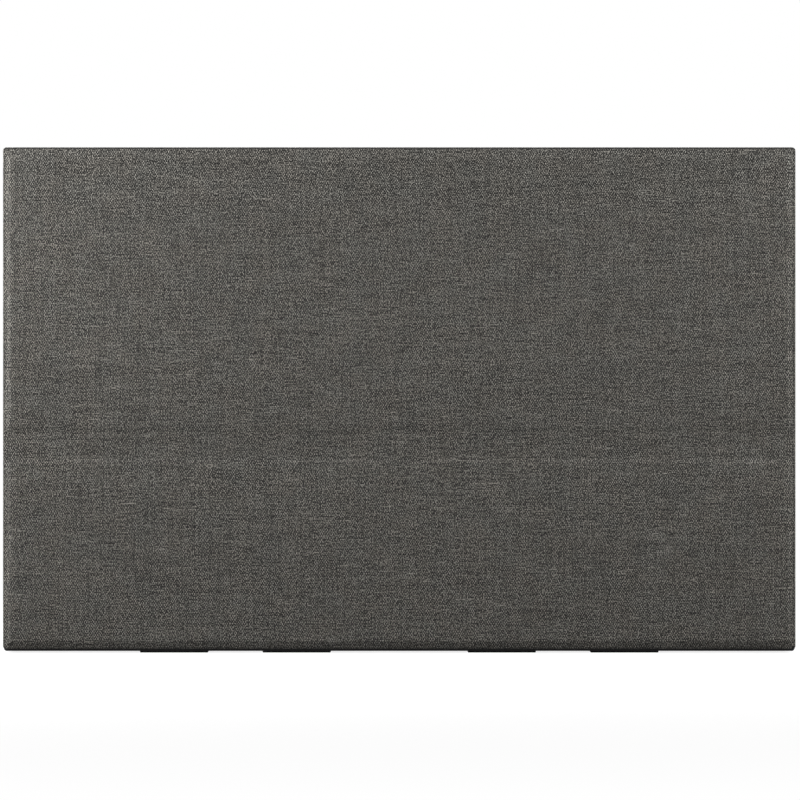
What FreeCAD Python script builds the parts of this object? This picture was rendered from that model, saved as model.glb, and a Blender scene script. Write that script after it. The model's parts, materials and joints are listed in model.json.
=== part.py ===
import FreeCAD, Part
import math
import os

os.makedirs("parts", exist_ok=True)
V = FreeCAD.Vector

# Frame, in mm: X across, Y from the front (-) to the back (+), Z up from the desk.

# Cover
cover_width = 355.0
cover_height = 224.8
fabric = 0.8            # outer skin
stiffener = 1.2         # board inside a panel
lining = 0.6            # soft inner face
lower_height = 86.2     # free edge to the lower crease
fold_width = 10.1       # crease to crease
hem_flat = 0.9          # flat rim outside the slope of a hem
hem_slope = 2.7         # run of the slope on the free edges
fold_slope = 2.2        # run of the slope beside the fold strip
top_slope = 0.9         # run of the slope under the spine
skin_ease = 0.5         # board edge set in behind the slope
turn_in = 7.0           # fabric folded round to the inner face
crease_gap = 0.2        # between a crease bead and the panel beside it
flap_height = 34.0      # part of the cover fixed to the back
flap_stiffener = 1.0
corner_radius = 1.4
magnet_size = (24.0, 5.0, 0.8)
magnet_inset = 27.5     # outer magnets, middle in from the cover's side
magnet_inner = 60.0     # inner magnets, middle from the centre
magnet_rise = 4.4       # magnets above the free edge
keeper_depth = 1.2

# Housing
cover_gap = 0.3         # lining to bezel
side_overhang = 0.3     # cover past the housing
edge_drop = 0.9         # housing below the free edge
foot_height = 0.8
foot_size = (30.5, 11.0)
foot_inset = 0.25       # behind the bezel
foot_seat = 0.8         # foot let into the housing
foot_bevel = 0.24
foot_places = (-101.0, -46.0, 46.0, 101.0)
wall = 1.6
bezel_thickness = 1.2
slim_depth = 8.0        # upper part, front to back
step_low = 100.0        # where the deep part starts to slope in
step_run = 10.0
back_round = 1.4
rim_gap = 0.15          # bezel rim to housing wall
rim_wall = 0.9
rim_depth = 1.6

# Display panel
side_border = 5.1       # housing edge to picture
top_border = 6.0
chin = 24.7
window_margin = 0.3
window_slope = 0.6
module_side = 2.2
module_top = 2.5
module_foot = 9.0
cell_thickness = 1.0
film_thickness = 0.5
guide_thickness = 1.0
reflector_thickness = 0.2
tray_thickness = 0.5
frame_inset = 1.0       # panel frame past the picture
led_room = 2.6
sheet_clearance = 0.1
pad_width = 8.0
pad_gap = 2.0           # between pads, and above the step

# Stand and its hinges
stand_side = 60.5       # cover edge to stand
stand_thickness = 1.6
stand_bottom = 12.0
stand_corner = 5.0
stand_bevel = 0.4
stand_gap = 0.5         # all round in the recess
recess_back = 0.3       # air behind the plate
swing_clearance = 0.25  # hinge edge off the bed when open
recess_floor = 1.2
axis_z = 92.0
stand_swing = 60.0      # degrees, fully open
axis_inset = 2.6        # hinge axis in from the back face
barrel_radius = 2.2
shaft_radius = 1.2
shaft_clearance = 0.05
turn_clearance = 0.4    # round turning barrels
pocket_ease = 0.3       # barrels off the pocket's floor
pocket_room = 1.0       # pocket past the knuckles and the leaf
hinge_inset = 29.0      # from the stand's side
barrel_length = 10.0
knuckle_length = 7.0
knuckle_gap = 0.2
leaf_length = 17.0
leaf_thickness = 1.2
leaf_slit = 0.5
leaf_screws = (7.6, 13.6)   # below the hinge axis
countersink = 0.9
screw_radius = 1.0
screw_head = 1.9
screw_head_height = 0.6
screw_bite = 4.0        # in the board's bosses
grip_inset = 17.0
grip_thickness = 1.0
grip_height = 1.8
grip_proud = 0.25
scoop_width = 32.0
scoop_low = 7.6         # scoop below the plate
scoop_high = 2.6        # scoop above the plate's edge
scoop_depth = 7.0
scoop_round = 2.8

# Main board and ports on the left
board_front = 5.6       # behind the bezel's face
board_thickness = 1.0
board_width = 49.6
board_low = 11.0
board_high = 82.0
board_margin = 1.0
port_room = 5.8         # behind the board
boss_radius = 2.2
boss_edge = 5.0
boss_drop = 4.0         # upper bosses below the board's top
boss_rise = 29.0
boss_span = 30.0
chip_sizes = (14.0, 8.0, 8.0)
chip_height = 1.2
chip_gap = 4.0
port_inset = 0.4
port_clearance = 0.25
usb_size = (8.94, 3.26, 7.3)
usb_places = (72.0, 54.0)
hdmi_size = (11.2, 3.2, 7.5)
hdmi_round = 0.8
hdmi_place = 35.0
shell_thickness = 0.3
tongue_thickness = 0.7
tongue_share = 0.72     # of the shell's width and depth
jack_place = 19.0
jack_bore = 1.8
jack_bore_length = 12.0
jack_nose = 2.8
jack_gap = 0.4          # socket's block off the wall
jack_body = (14.0, 5.6)
driver_size = (200.0, 14.0, 0.8)
ribbon_thickness = 0.3
ribbon_height = 10.0
ribbon_lap = 10.0
key_ribbon_height = 4.0
key_ribbon_low = 32.5
lead_radius = 0.5
lead_rise = 2.0         # below the speaker's top
lead_pitch = 2.0        # between the two leads
lead_plug_size = (3.0, 4.0)

# Speakers
speaker_size = (30.0, 14.0, 4.0)
speaker_inset = 31.2    # centre in from the housing's side
speaker_low = 15.0
speaker_round = 2.8
speaker_rim = 1.0       # wall round the speaker's mouth
slot_width = 1.3
slot_pitch = 3.4
slot_count = 8
slot_margin = 1.5

# Controls on the right
button_proud = 0.2
button_travel = 0.5
button_clearance = 0.25
button_flange = 0.8
button_lip = 1.0
button_stem = 1.0       # stem and toes inside the flange, and their half width
power_size = (9.0, 3.8)
power_place = 72.0
rocker_size = (16.0, 3.8)
rocker_place = 50.0
rocker_reach = 1.9      # pivot in from the inner wall
pivot_radius = 0.7
pivot_boss = 1.5
pivot_clearance = 0.05
lug_thickness = 1.0
lug_half = 1.7
toe_inset = 2.4         # rocker's toes from its ends
ear_gap = 0.1           # rocker's cap, and its opening, off the ears
root = 0.3              # lap where moulded features join a wall
switch_size = (3.6, 3.6, 1.4)
switch_stem = 0.7
control_board = 1.0
control_back = 2.6      # button board behind the keys' middle
control_high = 9.0      # button board above the power key's middle
rib_drop = 1.0          # upper rib below the board's end
rib_low = 12.0          # lower rib below the rocker's middle
rib_half = 1.0
rib_lap = 1.5           # ribs past the board's face

past = 1.0              # cutting tools run on past a face

# Levels that follow from the sizes above
sheet = fabric + lining
panel_depth = fabric + stiffener + lining
deep_depth = board_front + board_thickness + port_room + wall
total_depth = panel_depth + cover_gap + deep_depth
cover_half = cover_width / 2
magnet_outer = cover_half - magnet_inset
magnet_places = (-magnet_outer, -magnet_inner, magnet_inner, magnet_outer)
housing_half = cover_half - side_overhang
housing_bottom = foot_height
cover_bottom = housing_bottom + edge_drop
cover_top = cover_bottom + cover_height
housing_top = cover_top - sheet
low_crease = cover_bottom + lower_height
high_crease = low_crease + fold_width
hinge_z = cover_top - sheet / 2
setback = sheet / 2 + crease_gap
cover_front = -total_depth / 2
cover_back = cover_front + panel_depth
sheet_front = cover_back - sheet
lining_front = cover_back - lining
crease_y = cover_back - sheet / 2
bezel_front = cover_back + cover_gap
bezel_back = bezel_front + bezel_thickness
slim_back = bezel_front + slim_depth
deep_back = bezel_front + deep_depth
inner_half = housing_half - wall
rear_inside = deep_back - wall
step_high = step_low + step_run
active_width = 2 * (housing_half - side_border)
active_top = housing_top - top_border
active_bottom = housing_bottom + chin
module_half = active_width / 2 + module_side
module_low = active_bottom - module_foot
module_high = active_top + module_top
cell_back = bezel_back + cell_thickness
film_back = cell_back + film_thickness
guide_back = film_back + guide_thickness
reflector_back = guide_back + reflector_thickness
tray_back = reflector_back + tray_thickness
stand_width = cover_width - 2 * stand_side
hinge_reach = stand_width / 2 - hinge_inset
hinge_places = (-hinge_reach, hinge_reach)
grip_length = stand_width - 2 * grip_inset
axis_y = deep_back - axis_inset
recess_face = deep_back - stand_thickness - recess_back
recess_head = axis_z + axis_inset + turn_clearance
bed_reach = recess_face - axis_y + swing_clearance
hinge_bevel = bed_reach / math.cos(math.radians(stand_swing)) - (axis_inset - stand_thickness)
pocket_face = axis_y - barrel_radius - turn_clearance - pocket_ease
leaf_front = pocket_face + leaf_thickness
pocket_half = barrel_length / 2 + knuckle_gap + knuckle_length + pocket_room
pocket_low = axis_z - leaf_length - pocket_room
board_y = bezel_front + board_front
board_back = board_y + board_thickness
board_left = -inner_half + board_margin
board_right = board_left + board_width
boss_places = [
    (board_right - boss_edge - shift, z)
    for shift in (0.0, boss_span)
    for z in (board_low + boss_rise, board_high - boss_drop)
]
speaker_place = housing_half - speaker_inset
usb_y = board_back + usb_size[1] / 2
hdmi_y = board_back + hdmi_size[1] / 2
jack_y = board_back + jack_body[1] / 2
control_y = bezel_front + deep_depth / 2
flange_inner = inner_half - button_flange
stem_end = flange_inner - button_stem
switch_top = stem_end - button_travel
switch_base = switch_top - switch_stem - switch_size[2]
pivot_x = inner_half - rocker_reach


def block(x0, x1, y0, y1, z0, z1):
    """Box between two corners."""
    return Part.makeBox(x1 - x0, y1 - y0, z1 - z0, V(x0, y0, z0))


def outline(x0, x1, z0, z1, y, r_low, r_high):
    """Upright rectangle at depth y with its lower and upper corners rounded."""
    corners = [
        (x0, z0, r_low, 1, 1),
        (x1, z0, r_low, -1, 1),
        (x1, z1, r_high, -1, -1),
        (x0, z1, r_high, 1, -1),
    ]
    edges = []
    ends = []
    for i, (x, z, r, sx, sz) in enumerate(corners):
        along_x = V(x + sx * r, y, z)
        along_z = V(x, y, z + sz * r)
        first, last = (along_z, along_x) if i % 2 == 0 else (along_x, along_z)
        ends.append((first, last))
        if r > 0:
            k = r * (1 - math.sqrt(0.5))
            edges.append(Part.Arc(first, V(x + sx * k, y, z + sz * k), last).toShape())
    for i in range(4):
        edges.append(Part.makeLine(ends[i][1], ends[(i + 1) % 4][0]))
    return Part.Wire(Part.__sortEdges__(edges))


def plate(x0, x1, z0, z1, y0, y1, r_low=0.0, r_high=0.0):
    """Upright plate with rounded corners, from depth y0 to y1."""
    face = Part.Face(outline(x0, x1, z0, z1, y0, r_low, r_high))
    return face.extrude(V(0, y1 - y0, 0))


def frustum(low, high):
    """Loft between two upright rectangles, each (x half width, z0, z1, y, corner radius)."""
    wires = [outline(-h, h, z0, z1, y, r, r) for h, z0, z1, y, r in (low, high)]
    return Part.makeLoft(wires, True, True)


def ring(outer, inner, y0, y1):
    """Upright frame between two rectangles, each (x half width, z0, z1)."""
    body = plate(-outer[0], outer[0], outer[1], outer[2], y0, y1)
    hole = plate(-inner[0], inner[0], inner[1], inner[2], y0 - past, y1 + past)
    return body.cut(hole)


def prism(points, half):
    """Section in Y and Z drawn out along X, the same both ways."""
    wire = Part.makePolygon([V(-half, y, z) for y, z in points + points[:1]])
    return Part.Face(wire).extrude(V(2 * half, 0, 0))


def rod(radius, x0, x1, y, z):
    """Cylinder along X."""
    return Part.makeCylinder(radius, x1 - x0, V(x0, y, z), V(1, 0, 0))


def pin(radius, y0, y1, x, z):
    """Cylinder along Y."""
    return Part.makeCylinder(radius, y1 - y0, V(x, y0, z), V(0, 1, 0))


def pill(y, z, tall, deep, x0, x1, grow=0.0, r=None):
    """Bar along X whose section is tall in Z, deep in Y and rounded at its ends."""
    h = deep / 2 + grow
    t = tall / 2 + grow
    r = h * 0.999 if r is None else r + grow
    body = block(x0, x1, y - h, y + h, z - t, z + t)
    edges = [e for e in body.Edges if abs(e.Vertexes[0].X - e.Vertexes[-1].X) > 1e-6]
    return body.makeFillet(r, edges)


def joined(shapes):
    """One solid from pieces that overlap."""
    return shapes[0].multiFuse(shapes[1:]).removeSplitter()


def save(name, *shapes):
    """Write one node, of one solid or of several alike."""
    solids = []
    for shape in shapes:
        solids.extend(shape.Solids)
    out = solids[0] if len(solids) == 1 else Part.makeCompound(solids)
    out.exportStep("parts/" + name + ".step")


def magnets(y0, depth):
    """Row of flat bars behind the free edge."""
    width, height = magnet_size[:2]
    low = cover_bottom + magnet_rise
    return [block(x - width / 2, x + width / 2, y0, y0 + depth, low, low + height) for x in magnet_places]


def panel(name, z0, z1, low, high, free_low, bars):
    """Stiff half of the cover: skin, board and lining; low and high give flat rim and slope."""
    r = corner_radius if free_low else 0.0
    body = plate(-cover_half, cover_half, z0, z1, sheet_front, cover_back, r, 0.0)
    rim = cover_half - hem_flat
    crest = rim - hem_slope
    raised = frustum(
        (rim, z0 + low[0], z1 - high[0], sheet_front, r / 2),
        (crest, z0 + low[0] + low[1], z1 - high[0] - high[1], cover_front, r / 2),
    )
    core = frustum(
        (rim - skin_ease, z0 + low[0] + skin_ease, z1 - high[0] - skin_ease, lining_front, r / 2),
        (
            crest - skin_ease,
            z0 + low[0] + low[1] + skin_ease,
            z1 - high[0] - high[1] - skin_ease,
            cover_front + fabric,
            r / 2,
        ),
    )
    inside = plate(
        turn_in - cover_half,
        cover_half - turn_in,
        z0 + (turn_in if free_low else 0.0),
        z1,
        lining_front,
        cover_back,
    )
    save(name + "_fabric", joined([body, raised]).cut(core).cut(inside))
    for bar in bars:
        core = core.cut(bar)
    save(name + "_board", core)
    save(name + "_lining", inside)


def cover():
    """Two panels, the fold strip between them and the spine over the top."""
    upper_low = high_crease + setback
    upper_high = hinge_z - setback
    panel("upper", upper_low, upper_high, (0.0, fold_slope), (0.0, top_slope), False, [])
    bars = magnets(lining_front - magnet_size[2], magnet_size[2])
    panel("lower", cover_bottom, low_crease - setback, (hem_flat, hem_slope), (0.0, fold_slope), True, bars)
    save("lower_magnets", *bars)

    strip = block(-cover_half, cover_half, sheet_front, cover_back, low_crease, high_crease)
    beads = [rod(sheet / 2, -cover_half, cover_half, crease_y, z) for z in (low_crease, high_crease)]
    inside = block(
        turn_in - cover_half,
        cover_half - turn_in,
        lining_front,
        cover_back,
        low_crease + setback,
        high_crease - setback,
    )
    save("fold_fabric", joined([strip] + beads).cut(inside))
    save("fold_lining", inside)

    flap_back = slim_back + lining + flap_stiffener + fabric
    flap_low = housing_top - flap_height
    section = [
        (crease_y, housing_top),
        (crease_y, cover_top),
        (flap_back, cover_top),
        (flap_back, flap_low),
        (slim_back, flap_low),
        (slim_back, housing_top),
    ]
    spine = prism(section, cover_half)
    turn = []
    for e in spine.Edges:
        if all(v.Y > flap_back - 1e-6 and v.Z > cover_top - 1e-6 for v in e.Vertexes):
            turn.append(e)
    spine = spine.makeFillet(sheet, turn)
    spine = joined([spine, rod(sheet / 2, -cover_half, cover_half, crease_y, hinge_z)])
    half = cover_half - turn_in
    inside = joined(
        [
            block(-half, half, bezel_front, slim_back + lining, housing_top, housing_top + lining),
            block(-half, half, slim_back, slim_back + lining, flap_low + turn_in, housing_top + lining),
        ]
    )
    board_face = slim_back + lining
    board_half = cover_half - fabric
    board = block(
        -board_half,
        board_half,
        board_face,
        board_face + flap_stiffener,
        flap_low + fabric,
        housing_top - lining,
    )
    save("spine_fabric", spine.cut(inside).cut(board))
    save("spine_lining", inside)
    save("flap_board", board)


def bezel():
    """Thin front frame with a sloped window and a rim that slips inside the housing."""
    body = plate(
        -housing_half,
        housing_half,
        housing_bottom,
        housing_top,
        bezel_front,
        bezel_back,
        corner_radius,
        corner_radius,
    )
    half = active_width / 2 + window_margin
    low = active_bottom - window_margin
    high = active_top + window_margin
    g = window_slope
    window = frustum(
        (half, low, high, bezel_back, 0.0),
        (half + g, low - g, high + g, bezel_front, 0.0),
    )
    reach = inner_half - rim_gap
    bottom = housing_bottom + wall + rim_gap
    top = housing_top - wall - rim_gap
    rim = ring(
        (reach, bottom, top),
        (reach - rim_wall, bottom + rim_wall, top - rim_wall),
        bezel_back,
        bezel_back + rim_depth,
    )
    save("front_bezel", joined([body.cut(window), rim]))
    save("magnet_keepers", *magnets(bezel_back, keeper_depth))


def display_panel():
    """Cell, films, light guide and reflector in a frame on a metal tray."""
    outer = (module_half, module_low, module_high)
    save("lcd_cell", plate(-module_half, module_half, module_low, module_high, bezel_back, cell_back))
    half = active_width / 2 + frame_inset
    top = active_top + frame_inset
    bottom = active_bottom - frame_inset - led_room
    save("panel_frame", ring(outer, (half, bottom, top), cell_back, reflector_back))
    c = sheet_clearance
    low = active_bottom - frame_inset
    layers = (
        ("optical_films", cell_back, film_back),
        ("light_guide", film_back, guide_back),
        ("reflector_sheet", guide_back, reflector_back),
    )
    for name, y0, y1 in layers:
        save(name, plate(c - half, half - c, low, top - c, y0, y1))
    save("led_bar", block(c - half, half - c, cell_back, reflector_back, bottom, low - c))
    save("panel_tray", plate(-module_half, module_half, module_low, module_high, reflector_back, tray_back))
    face = slim_back - wall
    top_pad = block(-module_half, module_half, tray_back, face, module_high - pad_width, module_high)
    side_pads = [
        block(x, x + pad_width, tray_back, face, step_high + pad_gap, module_high - pad_width - pad_gap)
        for x in (-module_half, module_half - pad_width)
    ]
    save("panel_pads", top_pad, *side_pads)


def shell_section(inset, front):
    """Side view of the housing, drawn in from its outer skin."""
    lean = math.tan(math.atan2(deep_back - slim_back, step_run) / 2) * inset
    return [
        (front, housing_bottom + inset),
        (deep_back - inset, housing_bottom + inset),
        (deep_back - inset, step_low - lean),
        (slim_back - inset, step_high - lean),
        (slim_back - inset, housing_top - inset),
        (front, housing_top - inset),
    ]


def housing_skin():
    """Outer form: deep below, slim above, with rounded corners and back edges."""
    body = prism(shell_section(0.0, bezel_back), housing_half)
    corners = []
    for e in body.Edges:
        a, b = e.Vertexes[0], e.Vertexes[-1]
        flat = abs(a.Z - b.Z) < 1e-6 and abs(a.X - b.X) < 1e-6
        if flat:
            corners.append(e)
    body = body.makeFillet(corner_radius, corners)
    back = []
    for e in body.Edges:
        if all(v.Y > bezel_back + 1e-3 for v in e.Vertexes):
            across = abs(e.Vertexes[0].X - e.Vertexes[-1].X) > housing_half
            inner = all(step_low - 1 < v.Z < step_high + 1 for v in e.Vertexes)
            if not (across and inner):
                back.append(e)
    return body.makeFillet(back_round, back)


def hinge_pockets(grow):
    """Deep places in the recess for the two hinges."""
    half = pocket_half + grow
    low = pocket_low - grow
    high = recess_head + grow
    return [block(x - half, x + half, pocket_face - grow, deep_back + past, low, high) for x in hinge_places]


def stand_recess(grow):
    """Shallow bed of the stand's plate, with a scoop for a fingertip under its edge."""
    half = stand_width / 2 + stand_gap + grow
    low = stand_bottom - stand_gap - grow
    bed = block(-half, half, recess_face - grow, deep_back + past, low, recess_head + grow)
    reach = scoop_width / 2 + grow
    scoop = block(
        -reach,
        reach,
        deep_back - scoop_depth - grow,
        deep_back + past,
        stand_bottom - scoop_low - grow,
        stand_bottom + scoop_high + grow,
    )
    floor = [e for e in scoop.Edges if all(v.Y < deep_back - scoop_depth - grow + 1e-6 for v in e.Vertexes)]
    return [bed, scoop.makeFillet(scoop_round + grow, floor)]


def feet():
    """Rubber pads let into the underside."""
    y0 = bezel_back + foot_inset
    out = []
    for x in foot_places:
        pad = block(
            x - foot_size[0] / 2,
            x + foot_size[0] / 2,
            y0,
            y0 + foot_size[1],
            0.0,
            foot_height + foot_seat,
        )
        lower = [e for e in pad.Edges if all(v.Z < 1e-6 for v in e.Vertexes)]
        out.append(pad.makeChamfer(foot_bevel, lower))
    return out


def speaker_slots():
    """Sound openings through the back beside the stand."""
    low = speaker_low + slot_margin
    high = speaker_low + speaker_size[1] - slot_margin
    span = (slot_count - 1) * slot_pitch
    out = []
    for side in (-1, 1):
        for i in range(slot_count):
            x = side * speaker_place - span / 2 + i * slot_pitch
            out.append(
                plate(
                    x - slot_width / 2,
                    x + slot_width / 2,
                    low,
                    high,
                    rear_inside - past,
                    deep_back + past,
                    slot_width * 0.49,
                    slot_width * 0.49,
                )
            )
    return out


def rocker_lugs():
    """Two ears on the wall that carry the rocker's pin."""
    out = []
    gap = pivot_boss + pivot_clearance
    for side in (-1, 1):
        near = control_y + side * gap
        far = near + side * lug_thickness
        ear = block(
            pivot_x - lug_half,
            inner_half + root,
            min(near, far),
            max(near, far),
            rocker_place - lug_half,
            rocker_place + lug_half,
        )
        out.append(ear)
    return out


def rear_housing(pads):
    """Moulded back shell with the stand's bed, hinge pockets, ports, control openings and bosses."""
    skin = housing_skin()
    cavity = prism(shell_section(wall, bezel_back - past), inner_half)
    shell = skin.cut(cavity)
    keep = prism(shell_section(wall * 0.5, bezel_back), housing_half - wall * 0.5)
    beds = [s.common(keep) for s in stand_recess(recess_floor) + hinge_pockets(recess_floor)]
    bosses = [pin(boss_radius, board_back, rear_inside + root, x, z) for x, z in boss_places]
    rib_x = (switch_base - control_board, switch_base + rib_lap)
    rib_y = (control_y + control_back, rear_inside + root)
    control_ribs = [
        block(*rib_x, *rib_y, z - rib_half, z + rib_half)
        for z in (rocker_place - rib_low, power_place + control_high - rib_drop)
    ]
    shell = joined([shell] + beds + bosses + control_ribs + rocker_lugs())
    cuts = stand_recess(0.0) + hinge_pockets(0.0) + speaker_slots() + list(pads)
    mouth = -housing_half - past
    inside = -inner_half + past
    for z in usb_places:
        cuts.append(pill(usb_y, z, usb_size[0], usb_size[1], mouth, inside, port_clearance))
    tall, deep = hdmi_size[:2]
    cuts.append(pill(hdmi_y, hdmi_place, tall, deep, mouth, inside, port_clearance, hdmi_round))
    cuts.append(rod(jack_nose + port_clearance, mouth, inside, jack_y, jack_place))
    for size, z in ((power_size, power_place), (rocker_size, rocker_place)):
        opening = (inner_half - ear_gap, housing_half + past, button_clearance)
        cuts.append(pill(control_y, z, size[0], size[1], *opening))
    lug_reach = pivot_boss + pivot_clearance + lug_thickness
    cuts.append(pin(pivot_radius, control_y - lug_reach, control_y + lug_reach, pivot_x, rocker_place))
    depth = leaf_thickness + recess_floor
    for x in hinge_places:
        for z in screw_rows():
            cuts.append(pin(screw_radius, pocket_face - depth, leaf_front, x, z))
    for x, z in boss_places:
        cuts.append(pin(screw_radius, board_back - past, board_back + screw_bite, x, z))
    shell = shell.cut(Part.makeCompound(cuts))
    save("rear_housing", max(shell.Solids, key=lambda s: s.Volume))


def screw_rows():
    """Heights of the two screws in each hinge leaf."""
    return [axis_z - drop for drop in leaf_screws]


def hinges():
    """Fixed leaves, each curled round its shaft, with countersunk screws."""
    half = barrel_length / 2
    heads = []
    for side, x in zip(("left", "right"), hinge_places):
        leaf = block(x - half, x + half, pocket_face, leaf_front, axis_z - leaf_length, axis_z)
        curl = rod(barrel_radius, x - half, x + half, axis_y, axis_z)
        bracket = joined([leaf, curl])
        bore = shaft_radius + shaft_clearance
        bracket = bracket.cut(rod(bore, x - half - past, x + half + past, axis_y, axis_z))
        slit = block(
            x - half - past,
            x + half + past,
            leaf_front,
            leaf_front + leaf_slit,
            axis_z - barrel_radius - past,
            axis_z - shaft_radius / 2,
        )
        bracket = bracket.cut(slit)
        for z in screw_rows():
            seat = leaf_front - countersink
            cone = Part.makeCone(screw_radius, screw_head, countersink, V(x, seat, z), V(0, 1, 0))
            body = joined([cone, pin(screw_radius, pocket_face - recess_floor, seat + countersink / 2, x, z)])
            bracket = bracket.cut(body)
            heads.append(body)
        save("hinge_bracket_" + side, bracket)
        reach = half + knuckle_gap + knuckle_length
        save("hinge_shaft_" + side, rod(shaft_radius, x - reach, x + reach, axis_y, axis_z))
    save("hinge_screws", *heads)


def stand():
    """Swinging plate, bevelled at the hinge, with knuckles round the shafts and a grip on its free edge."""
    half = stand_width / 2
    inner = deep_back - stand_thickness
    body = plate(-half, half, stand_bottom, axis_z, inner, deep_back, stand_corner, 0.0)
    outer = []
    for e in body.Edges:
        if all(v.Y > deep_back - 1e-6 for v in e.Vertexes) and min(v.Z for v in e.Vertexes) < axis_z - 1e-6:
            outer.append(e)
    body = body.makeChamfer(stand_bevel, outer)
    heel = [(inner, axis_z), (inner + hinge_bevel, axis_z), (inner, axis_z - hinge_bevel)]
    body = body.cut(prism(heel, half))
    notch = barrel_length / 2 + knuckle_gap
    pieces = []
    cuts = []
    for x in hinge_places:
        for side in (-1, 1):
            near, far = sorted((x + side * notch, x + side * (notch + knuckle_length)))
            lap = knuckle_gap / 2
            pieces.append(rod(barrel_radius, near, far, axis_y, axis_z))
            cuts.append(rod(shaft_radius, near - lap, far + lap, axis_y, axis_z))
        foot = axis_z - barrel_radius - turn_clearance * 2
        cuts.append(block(x - notch, x + notch, inner - past, deep_back + past, foot, axis_z + past))
    middle = deep_back - stand_thickness / 2
    grip = block(
        -grip_length / 2,
        grip_length / 2,
        middle - grip_thickness / 2,
        middle + grip_thickness / 2,
        stand_bottom - grip_proud,
        stand_bottom - grip_proud + grip_height,
    )
    body = joined([body] + pieces).cut(Part.makeCompound(cuts)).cut(grip)
    save("stand_plate", body)
    save("stand_grip", grip)


def port_shell(name, size, y, places, r):
    """Drawn metal shells on the board's edge, each with a contact tongue."""
    mouth = -housing_half + port_inset
    shells = []
    tongues = []
    for z in places:
        t = shell_thickness
        inner_r = None if r is None else r - t
        tube = pill(y, z, size[0], size[1], mouth, mouth + size[2], 0.0, r)
        back = mouth + size[2] - t * 2
        hollow = pill(y, z, size[0] - 2 * t, size[1] - 2 * t, mouth - past, back, 0.0, inner_r)
        shells.append(tube.cut(hollow))
        half = size[0] * tongue_share / 2
        half_t = tongue_thickness / 2
        tongues.append(block(back - size[2] * tongue_share, back, y - half_t, y + half_t, z - half, z + half))
    save(name + "_shells", *shells)
    save(name + "_tongues", *tongues)


def jack():
    """Audio socket: a block on the board with a round nose through the wall."""
    nose_end = -inner_half + jack_gap
    long, tall = jack_body
    low = jack_place - tall / 2
    body = block(nose_end, nose_end + long, board_back, board_back + tall, low, low + tall)
    nose = rod(jack_nose, -housing_half + port_inset / 2, nose_end + root, jack_y, jack_place)
    start = -housing_half + port_inset / 2
    bore = rod(jack_bore, start - past, start + jack_bore_length, jack_y, jack_place)
    save("audio_jack", joined([body, nose]).cut(bore))


def electronics():
    """Main board with its parts, the panel's driver board and the ribbons between boards."""
    board = block(board_left, board_right, board_y, board_back, board_low, board_high)
    screws = []
    for x, z in boss_places:
        head = pin(screw_head, board_y - screw_head_height, board_y, x, z)
        shank = pin(screw_radius, board_y - screw_head_height / 2, board_back + screw_bite, x, z)
        body = joined([head, shank])
        board = board.cut(body)
        screws.append(body)
    save("main_board", board)
    save("board_screws", *screws)
    chips = []
    right = board_right - chip_gap
    low = board_low + boss_rise + boss_radius + chip_gap
    for size in chip_sizes:
        chips.append(block(right - size, right, board_back, board_back + chip_height, low, low + size))
        right -= size + chip_gap
    save("board_chips", *chips)
    port_shell("usb_c", usb_size, usb_y, usb_places, None)
    port_shell("mini_hdmi", hdmi_size, hdmi_y, (hdmi_place,), hdmi_round)
    jack()
    half, height, thick = driver_size[0] / 2, driver_size[1], driver_size[2]
    low = module_low
    save("driver_board", block(-half, half, tray_back, tray_back + thick, low, low + height))
    mid = low + height / 2
    ribbon_y = board_y - ribbon_thickness
    z0 = mid - ribbon_height / 2
    z1 = mid + ribbon_height / 2
    strip = block(board_right - ribbon_lap, ribbon_lap - half, ribbon_y, board_y, z0, z1)
    plug = block(ribbon_lap / 4 - half, ribbon_lap - half, tray_back + thick, board_y, z0, z1)
    save("panel_ribbon", joined([strip, plug]))

    top = key_ribbon_low + key_ribbon_height
    run = tray_back + ribbon_thickness
    end = switch_base - control_board
    strip = block(board_right - ribbon_lap, end, tray_back, run, key_ribbon_low, top)
    start = board_right - ribbon_lap
    plug = block(start, board_right - ribbon_lap / 4, tray_back, board_y, key_ribbon_low, top)
    save("key_ribbon", joined([strip, plug]))


def speaker_wires():
    """Leads from a plug on the main board to the two speakers."""
    near = speaker_place - speaker_size[0] / 2
    y = rear_inside - speaker_size[2] + lead_radius
    z = speaker_low + speaker_size[1] - lead_rise
    plug_left = board_right - lead_plug_size[0]
    middle = z - lead_pitch / 2
    low = middle - lead_plug_size[1] / 2
    high = middle + lead_plug_size[1] / 2
    save("lead_plug", block(plug_left, board_right, board_back, y + lead_radius * 2, low, high))
    right = rod(lead_radius, board_right, near, y, z)
    left = rod(lead_radius, -near, plug_left, y, z - lead_pitch)
    save("speaker_leads", left, right)


def speakers():
    """Flat speaker boxes against the slots in the back."""
    for side, x in (("left", -speaker_place), ("right", speaker_place)):
        w, h, d = speaker_size
        box = block(x - w / 2, x + w / 2, rear_inside - d, rear_inside, speaker_low, speaker_low + h)
        corners = [e for e in box.Edges if abs(e.Vertexes[0].Y - e.Vertexes[-1].Y) > 1e-6]
        box = box.makeFillet(speaker_round, corners)
        inner = speaker_round - speaker_rim
        mouth = plate(
            x - w / 2 + speaker_rim,
            x + w / 2 - speaker_rim,
            speaker_low + speaker_rim,
            speaker_low + h - speaker_rim,
            rear_inside - speaker_rim,
            rear_inside + past,
            inner,
            inner,
        )
        save("speaker_" + side, box.cut(mouth))


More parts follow.
